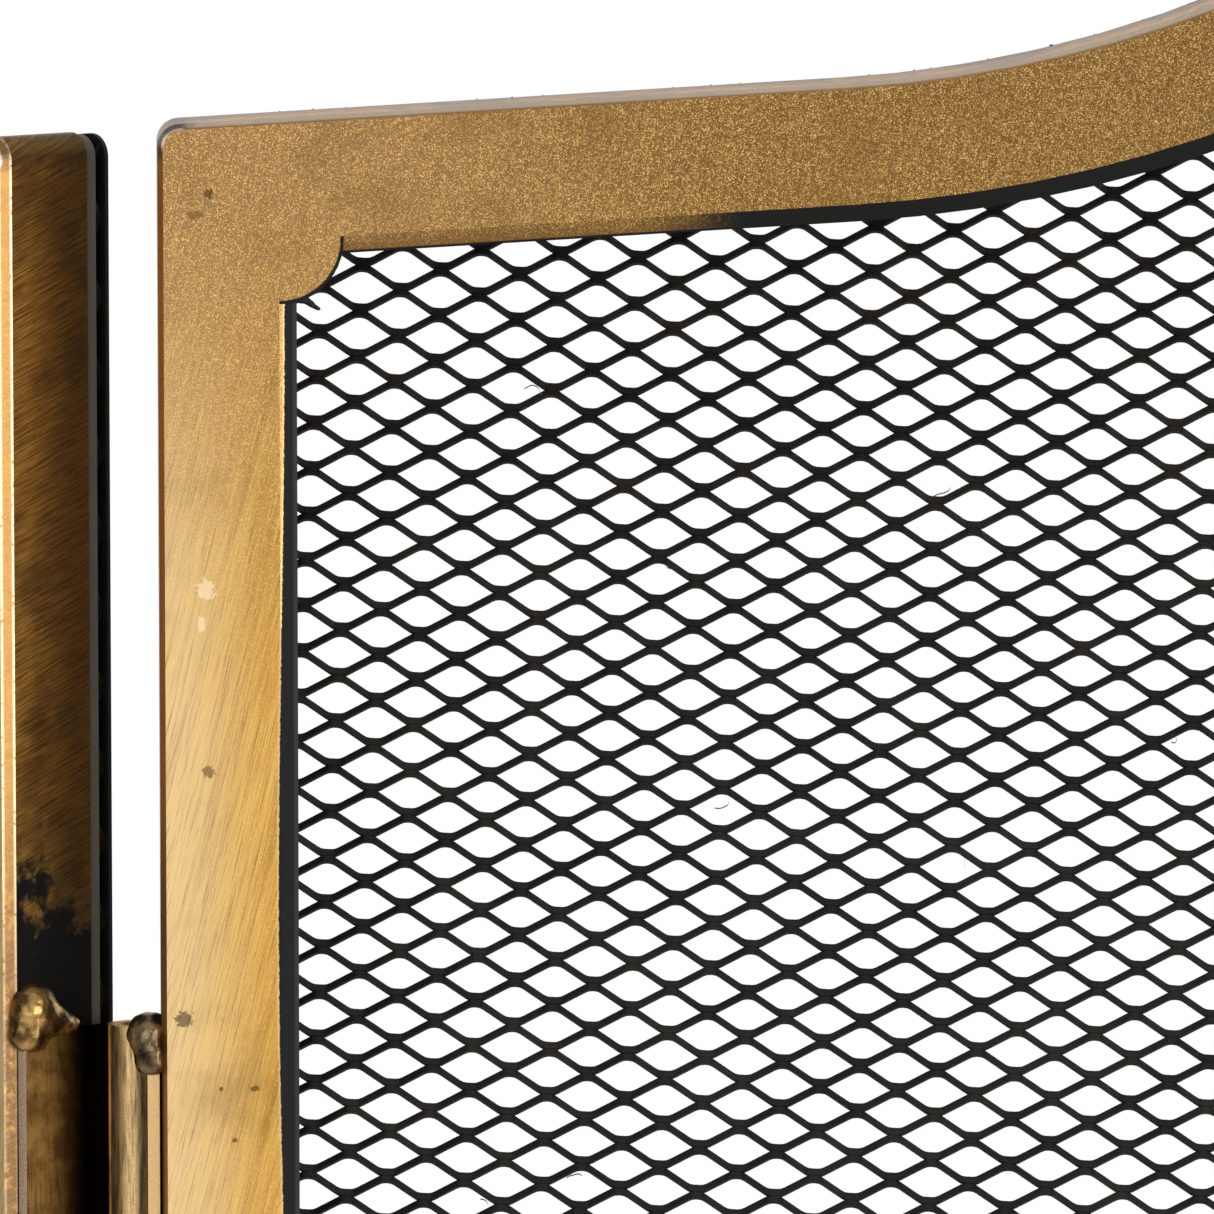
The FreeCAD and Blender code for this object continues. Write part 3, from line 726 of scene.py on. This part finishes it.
def zigzag():
    """One period of a row: the places along it and the height there, from -1 to 1."""
    half = LONG_WAY / 2
    start, end = VALLEY_FLAT / 2, half - PEAK_FLAT / 2
    slope = 2 / (end - start)
    half_bend = BEND / 2
    places = [start - half_bend, start, start + half_bend, end - half_bend, end, end + half_bend]
    gain = slope * BEND / 8
    heights = [-1, -1 + gain, -1 + slope * half_bend, 1 - slope * half_bend, 1 - gain, 1]
    places += [LONG_WAY - p for p in reversed(places)]
    heights += list(reversed(heights))
    return np.array(places), np.array(heights)


def strand_section():
    """The corners of a strand's section, as offsets back and up."""
    wide = np.array([math.sin(STRAND_TILT), math.cos(STRAND_TILT)]) * STRAND_WIDTH / 2
    thick = np.array([-math.cos(STRAND_TILT), math.sin(STRAND_TILT)]) * STRAND_THICK / 2
    return [-wide - thick, wide - thick, wide + thick, -wide + thick]


class Outline:
    """The edge of a panel's mesh, taken from its CAD plate."""

    def __init__(self, panel):
        corners = panel.points(f"{panel.name}_mesh")
        self.low_x, self.high_x = corners[:, 0].min(), corners[:, 0].max()
        self.low_z, self.high_z = corners[:, 2].min(), corners[:, 2].max()
        self.middle_x = (self.low_x + self.high_x) / 2
        self.middle_z = (self.low_z + self.high_z) / 2
        self.reach = math.hypot(self.high_x - self.low_x, self.high_z - self.low_z) / 2
        upper = corners[:, 2] > self.high_z / 2
        self.top_x, self.top_z = self.profile(corners[upper], max)
        self.bottom_x, self.bottom_z = self.profile(corners[~upper], min)

    @staticmethod
    def profile(corners, furthest):
        """The outermost height at each place across."""
        heights = {}
        for x, _, z in corners:
            key = round(float(x), 2)
            heights[key] = furthest(heights.get(key, z), z)
        across = sorted(heights)
        return np.array(across), np.array([heights[x] for x in across])

    def room(self, x, z):
        """How far inside the edge each point is. It is negative outside."""
        top = np.interp(x, self.top_x, self.top_z) - z
        bottom = z - np.interp(x, self.bottom_x, self.bottom_z)
        return np.minimum.reduce([top, bottom, x - self.low_x, self.high_x - x])


def row_runs(outline, angle, phase, height):
    """The stretches of one row's centreline that lie inside the outline, each an array of x, y, z."""
    places, heights = zigzag()
    periods = math.ceil(outline.reach / LONG_WAY) + 1
    along = np.concatenate([places + LONG_WAY * i + phase for i in range(-periods, periods)])
    wave = np.tile(heights, 2 * periods)
    rise = (ROW_PITCH - STRAND_WIDTH * math.cos(STRAND_TILT) + BOND_OVERLAP) / 2
    up = height + rise * wave
    x = outline.middle_x + along * math.cos(angle) - up * math.sin(angle)
    z = outline.middle_z + along * math.sin(angle) + up * math.cos(angle)
    y = -BOND_DEPTH * wave
    room = outline.room(x, z)
    points = np.stack([x, y, z], axis=1)
    inside = np.flatnonzero(room > 0)
    if len(inside) == 0:
        return []
    runs = []
    for run in np.split(inside, np.flatnonzero(np.diff(inside) > 1) + 1):
        before, after = run[0] - 1, run[-1] + 1
        line = list(points[run])
        if before >= 0:
            share = room[run[0]] / (room[run[0]] - room[before])
            line.insert(0, points[run[0]] + share * (points[before] - points[run[0]]))
        if after < len(points):
            share = room[run[-1]] / (room[run[-1]] - room[after])
            line.append(points[run[-1]] + share * (points[after] - points[run[-1]]))
        if len(line) > 2:
            runs.append(np.array(line))
    return runs


def strand(run, section, first):
    """The corners and faces of one strand along a run of centreline points.

    The section is offset in y and z whatever the row's angle. That is right for rows that are nearly
    level. Upright rows come out flat at their bonds, and half of each strand comes out inside out.
    """
    corners = np.repeat(run, 4, axis=0)
    corners[:, 1:] += np.tile(section, (len(run), 1))
    steps = first + 4 * np.arange(len(run) - 1)[:, None]
    faces = [np.hstack([steps + a, steps + b, steps + 4 + b, steps + 4 + a])
             for a, b in ((0, 1), (1, 2), (2, 3), (3, 0))]
    last = first + 4 * (len(run) - 1)
    caps = np.array([[first + 3, first + 2, first + 1, first], [last, last + 1, last + 2, last + 3]])
    return corners, np.vstack([*faces, caps])


def strand_piece(name, panel, corners, faces):
    """Strands as a black piece of their panel."""
    mesh = bpy.data.meshes.new(name)
    mesh.from_pydata((corners * MM).tolist(), [], np.vstack(faces).tolist())
    mesh.transform(panel.to_row)
    mesh.materials.append(BLACK_MESH[panel.name])
    piece = bpy.data.objects.new(name, mesh)
    SCENE.collection.objects.link(piece)
    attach(piece, panel.body)
    return piece


def upright_lift(panel):
    """The lift at which one upright row lies whole along a side panel's hinge-side edge."""
    outline = Outline(panel)
    edge_row = panel.side * ((outline.high_x - outline.low_x) / 2 - EDGE_ROW)
    return edge_row % ROW_PITCH


def expanded_metal(panel, angle_deg, phase, lift, bands):
    """The raised mesh of one panel, as bands of rows."""
    outline = Outline(panel)
    angle = math.radians(angle_deg)
    section = np.array(strand_section())
    depth = max(abs(section[:, 0])) + BOND_DEPTH
    half_x = (outline.high_x - outline.low_x) / 2
    half_z = (outline.high_z - outline.low_z) / 2
    half_height = half_x * abs(math.sin(angle)) + half_z * abs(math.cos(angle))
    count = math.ceil(half_height / ROW_PITCH) + 1
    rows = np.arange(-count, count + 1)
    for band, members in enumerate(np.array_split(rows, bands)):
        corners, faces, first = [], [], 0
        for row in members:
            shift = phase + (LONG_WAY / 2 if row % 2 else 0)
            for run in row_runs(outline, angle, shift, lift + row * ROW_PITCH):
                new_corners, new_faces = strand(run, section, first)
                corners.append(new_corners)
                faces.append(new_faces)
                first += len(new_corners)
        corners = np.vstack(corners)
        corners[:, 1] += BAR_BACK + depth
        piece = strand_piece(f"{panel.name}_expanded_metal_{band + 1}", panel, corners, faces)
        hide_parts(f"{panel.name}_mesh")


# ---------------------------------------------------------------- welds

# Balls of one weld lump, from the leaf's front corner: off the stile, back, past the end, half sizes.
SIDE_LUMP = [(0.8, 4.2, 4.9, (5.0, 6.2, 6.4)), (0.8, 3.2, 0.4, (4.6, 5.4, 5.2)),
             (1.2, 8.6, 2.6, (4.0, 4.8, 4.2)), (1.3, 12.6, 1.2, (3.0, 4.6, 2.6))]
CENTRE_LUMP = [(2.6, 4.4, 1.4, (5.2, 6.4, 5.0)), (1.9, 3.2, -3.4, (4.2, 5.8, 5.0)),
               (2.4, 10.5, 0.7, (4.0, 5.0, 3.2))]
# The seam bead in the slit beside a leaf: its depth, spacing, distance off the stile, end gap and ball.
SEAM_DEPTH = 13.0
SEAM_STEP = 2.4
SEAM_OFF = 0.25
SEAM_END = 4
SEAM_BALL = (1.0, 1.6, 2.2)
LUMP_WAVE = 0.35
LUMP_RIPPLE = 0.12
LUMP_VOXEL = 0.9
LUMP_SMOOTHING = 8
# The paint clot starts this far across from the gusset's centre, and lies this far behind the bar.
CRUMB_ACROSS = 3.8
CRUMB_BACK = 0.4
# Its balls from there: across, up, radius.
CRUMB = [(0.9, -0.6, 1.5), (2.5, -1.4, 1.4), (4.0, -2.6, 1.2), (5.4, -3.3, 1.0)]
SIDE_WELD_TONES = ((0.10, 0.050, 0.017), (0.62, 0.38, 0.13))
CENTRE_WELD_TONES = ((0.05, 0.032, 0.018), (0.30, 0.20, 0.11))


def lump_mesh(name, balls, to_row):
    """One smooth closed lump made of overlapping balls."""
    shape = bmesh.new()
    for centre, half_sizes in balls:
        place = Matrix.Translation(centre) @ Matrix.Diagonal((*half_sizes, 1))
        bmesh.ops.create_icosphere(shape, subdivisions=3, radius=1, matrix=place)
    mesh = bpy.data.meshes.new(name)
    shape.to_mesh(mesh)
    shape.free()
    holder = bpy.data.objects.new(name, mesh)
    SCENE.collection.objects.link(holder)
    remesh = holder.modifiers.new("remesh", "REMESH")
    remesh.mode = "VOXEL"
    remesh.voxel_size = LUMP_VOXEL
    smooth = holder.modifiers.new("smooth", "SMOOTH")
    smooth.iterations = LUMP_SMOOTHING
    rounding = holder.modifiers.new("rounding", "SUBSURF")
    rounding.levels = 1
    graph = bpy.context.evaluated_depsgraph_get()
    made = bpy.data.meshes.new_from_object(holder.evaluated_get(graph))
    bpy.data.objects.remove(holder)
    offset = Vector(balls[0][0])
    normals = [vertex.normal.copy() for vertex in made.vertices]
    for vertex, normal in zip(made.vertices, normals):
        wave = noise.noise(vertex.co * 0.32 + offset) * LUMP_WAVE
        wave += noise.noise(vertex.co * 0.9 + offset) * LUMP_RIPPLE
        vertex.co += normal * wave
    made.transform(Matrix.Scale(MM, 4))
    made.transform(to_row)
    return made


def lump_piece(name, balls, panel, material):
    """A lump as a piece of its panel."""
    mesh = lump_mesh(name, balls, panel.to_row)
    for face in mesh.polygons:
        face.use_smooth = True
    mesh.materials.append(material)
    piece = bpy.data.objects.new(name, mesh)
    SCENE.collection.objects.link(piece)
    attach(piece, panel.body)
    return piece


def weld_lumps(node):
    """Lumpy beads that replace the plain weld bars at both ends of a hinge leaf."""
    panel = panel_of(node)
    leaf = panel.points(node.replace("welds", "leaf"))
    near_side = -1 if panel.side < 0 or (not panel.side and leaf[:, 0].mean() < 0) else 1
    welds = np.abs(panel.points(node)[:, 0])
    stile = welds.min() if panel.side == 0 else welds.max()
    inward = near_side if panel.side == 0 else -near_side
    front, low, high = leaf[:, 1].min(), leaf[:, 2].min(), leaf[:, 2].max()
    pattern = SIDE_LUMP if panel.side else CENTRE_LUMP
    tones = SIDE_WELD_TONES if panel.side else CENTRE_WELD_TONES
    material = weld_metal(f"weld_{node}", *tones)
    for end, up, label in ((high, 1, "top"), (low, -1, "bottom")):
        balls = [(Vector((near_side * stile + inward * off, front + back, end + up * past)), half)
                 for off, back, past, half in pattern]
        piece = lump_piece(f"{node}_{label}_lump", balls, panel, material)
        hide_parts(node)
    seam_x = near_side * stile + inward * SEAM_OFF
    balls = [(Vector((seam_x, front + SEAM_DEPTH, float(z))), SEAM_BALL)
             for z in np.arange(low + SEAM_END, high - SEAM_END, SEAM_STEP)]
    lump_piece(node.replace("welds", "seam"), balls, panel, BLACK_MESH[panel.name])


def paint_crumb():
    """Clotted black paint on the mesh beside the middle panel's upper left gusset."""
    panel = PANELS["centre"]
    x, z = min(gusset_centres(panel), key=lambda spot: spot[0] - spot[1])
    start = Vector((x + CRUMB_ACROSS, BAR_BACK, z - GUSSET_RADIUS))
    balls = [(start + Vector((over, CRUMB_BACK, up)), (size, size, size)) for over, up, size in CRUMB]
    lump_piece("centre_paint_crumb", balls, panel, BLACK_MESH["centre"])


# ---------------------------------------------------------------- lint

LINT_HALF = 0.12
LINT_CLEAR = 40
LINT_STEP = 0.75
FIBRES = {"centre": 110, "left": 30, "right": 30}


def lint(panel, count, seed):
    """Dark fibres caught on the front of the mesh."""
    draw = random.Random(seed)
    outline = Outline(panel)
    section = np.array([[-1, -1], [1, -1], [1, 1], [-1, 1]]) * LINT_HALF
    corners, faces, first = [], [], 0
    for _ in range(count):
        x = draw.uniform(outline.low_x + LINT_CLEAR, outline.high_x - LINT_CLEAR)
        z = draw.uniform(outline.low_z + LINT_CLEAR, outline.top_z.min() - LINT_CLEAR)
        heading = draw.uniform(0, 2 * math.pi)
        turning = draw.uniform(-0.9, 0.9)
        line = []
        for _ in range(draw.randint(4, 8)):
            line.append((x, BAR_BACK - 0.1 + draw.uniform(-0.3, 0.1), z))
            x += LINT_STEP * math.cos(heading)
            z += LINT_STEP * math.sin(heading)
            heading += turning + draw.uniform(-0.5, 0.5)
        new_corners, new_faces = strand(np.array(line), section, first)
        corners.append(new_corners)
        faces.append(new_faces)
        first += len(new_corners)
    strand_piece(f"{panel.name}_lint", panel, np.vstack(corners), faces)


# ---------------------------------------------------------------- stage, light, camera

FLOOR_SIZE = 5
FLOOR_DROP = 0.0005
FLOOR_TONES = ((0.82, 0.81, 0.79), (0.86, 0.85, 0.83))
ROOM_LIGHT = 1.15
ROOM_DARK = 0.15
# Where the camera aims: right of and below the middle panel's top left corner.
AIM_RIGHT = 0.0972
AIM_DOWN = 0.1037
CAMERA_AZIMUTH = -3.0
CAMERA_ELEVATION = 6.3
CAMERA_DISTANCE = 2.2
CAMERA_LENS = 300
# Each lamp's name, place from the aim, size and watts.
LAMPS = [
    ("key", (-0.8, -2.3, 0.5), (1.8, 1.6), 18),
    ("low_fill", (-0.2, -1.9, -0.8), (1.6, 0.9), 7),
    ("right_fill", (1.9, -2.0, 0.1), (1.2, 1.8), 28),
]


def pale_floor():
    """A plain pale floor under the screen."""
    bpy.ops.mesh.primitive_plane_add(size=FLOOR_SIZE, location=(0, 0, -FLOOR_DROP))
    floor = bpy.context.object
    floor.name = "floor"
    material, s = new_material("pale_floor")
    position = s.add("ShaderNodeTexCoord").outputs["Object"]
    cloud = s.noise(position, 1.2, detail=3.0)
    colour = s.mix(cloud, *FLOOR_TONES)
    s.surface(Base_Color=colour, Roughness=0.6)
    floor.data.materials.append(material)


def studio_world():
    """White behind everything, and a softer, darker room for what the metal reflects."""
    world = bpy.data.worlds.new("studio")
    SCENE.world = world
    world.use_nodes = True
    s = Shader(world.node_tree)
    direction = s.parts(s.add("ShaderNodeTexCoord").outputs["Generated"])
    behind = s.both(s.step(direction[1], -0.05, 0.55), s.step(direction[2], 0.60, 0.25))
    above = s.both(s.step(direction[2], 0.3, 0.95), 0.45)
    room = s.math("ADD", s.math("MULTIPLY", s.either(behind, above), ROOM_LIGHT), ROOM_DARK)
    seen = s.add("ShaderNodeLightPath").outputs["Is Camera Ray"]
    strength = s.blend(seen, room, 1.0)
    background = s.add("ShaderNodeBackground", {"Color": (1, 1, 1, 1), "Strength": strength})
    s.add("ShaderNodeOutputWorld", {"Surface": background.outputs[0]})


def soft_light(name, place, aim, size, power):
    """One large soft lamp."""
    lamp = bpy.data.lights.new(name, "AREA")
    lamp.shape = "RECTANGLE"
    lamp.size, lamp.size_y = size
    lamp.energy = power
    holder = bpy.data.objects.new(name, lamp)
    holder.location = place
    holder.rotation_euler = (Vector(aim) - Vector(place)).to_track_quat("-Z", "Y").to_euler()
    SCENE.collection.objects.link(holder)


def camera(aim, azimuth_deg, elevation_deg, distance, lens):
    """The camera, looking at aim."""
    azimuth, elevation = math.radians(azimuth_deg), math.radians(elevation_deg)
    back = Vector((math.sin(azimuth) * math.cos(elevation), -math.cos(azimuth) * math.cos(elevation),
                   math.sin(elevation)))
    data = bpy.data.cameras.new("camera")
    data.lens = lens
    data.sensor_width = 36
    data.clip_start, data.clip_end = 0.05, 50
    holder = bpy.data.objects.new("camera", data)
    holder.location = aim + back * distance
    holder.rotation_euler = (-back).to_track_quat("-Z", "Y").to_euler()
    SCENE.collection.objects.link(holder)
    SCENE.camera = holder


# ---------------------------------------------------------------- the scene

BLACK_MESH = {name: black_mesh(panel) for name, panel in PANELS.items()}
for node_name, slot_name in SLOT_OF.items():
    if slot_name == "antique_brass":
        finish_node(node_name, brass(node_name))
    elif slot_name == "black_bar":
        finish_node(node_name, black_bar(node_name))
    elif slot_name in ("hinge_leaf", "hinge_pin"):
        finish_node(node_name, hinge_metal(node_name))
    elif slot_name == "weld_metal":
        weld_lumps(node_name)
# The lumps come before the mesh, because each one evaluates the whole scene.
paint_crumb()
expanded_metal(PANELS["centre"], *CENTRE_ROWS, bands=4)
for panel_name, start in (("left", LEFT_PHASE), ("right", RIGHT_PHASE)):
    expanded_metal(PANELS[panel_name], UPRIGHT, start, upright_lift(PANELS[panel_name]), bands=2)
for seed, (panel_name, fibres) in enumerate(FIBRES.items(), start=1):
    lint(PANELS[panel_name], fibres, seed)

pale_floor()
studio_world()
stile_low, stile_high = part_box("centre_left_stile")
target = Vector((stile_low.x + AIM_RIGHT, stile_low.y, stile_high.z - AIM_DOWN))
for lamp_name, lamp_place, lamp_size, watts in LAMPS:
    soft_light(lamp_name, target + Vector(lamp_place), target, lamp_size, watts)
camera(target, CAMERA_AZIMUTH, CAMERA_ELEVATION, CAMERA_DISTANCE, CAMERA_LENS)
SCENE.view_settings.view_transform = "Standard"
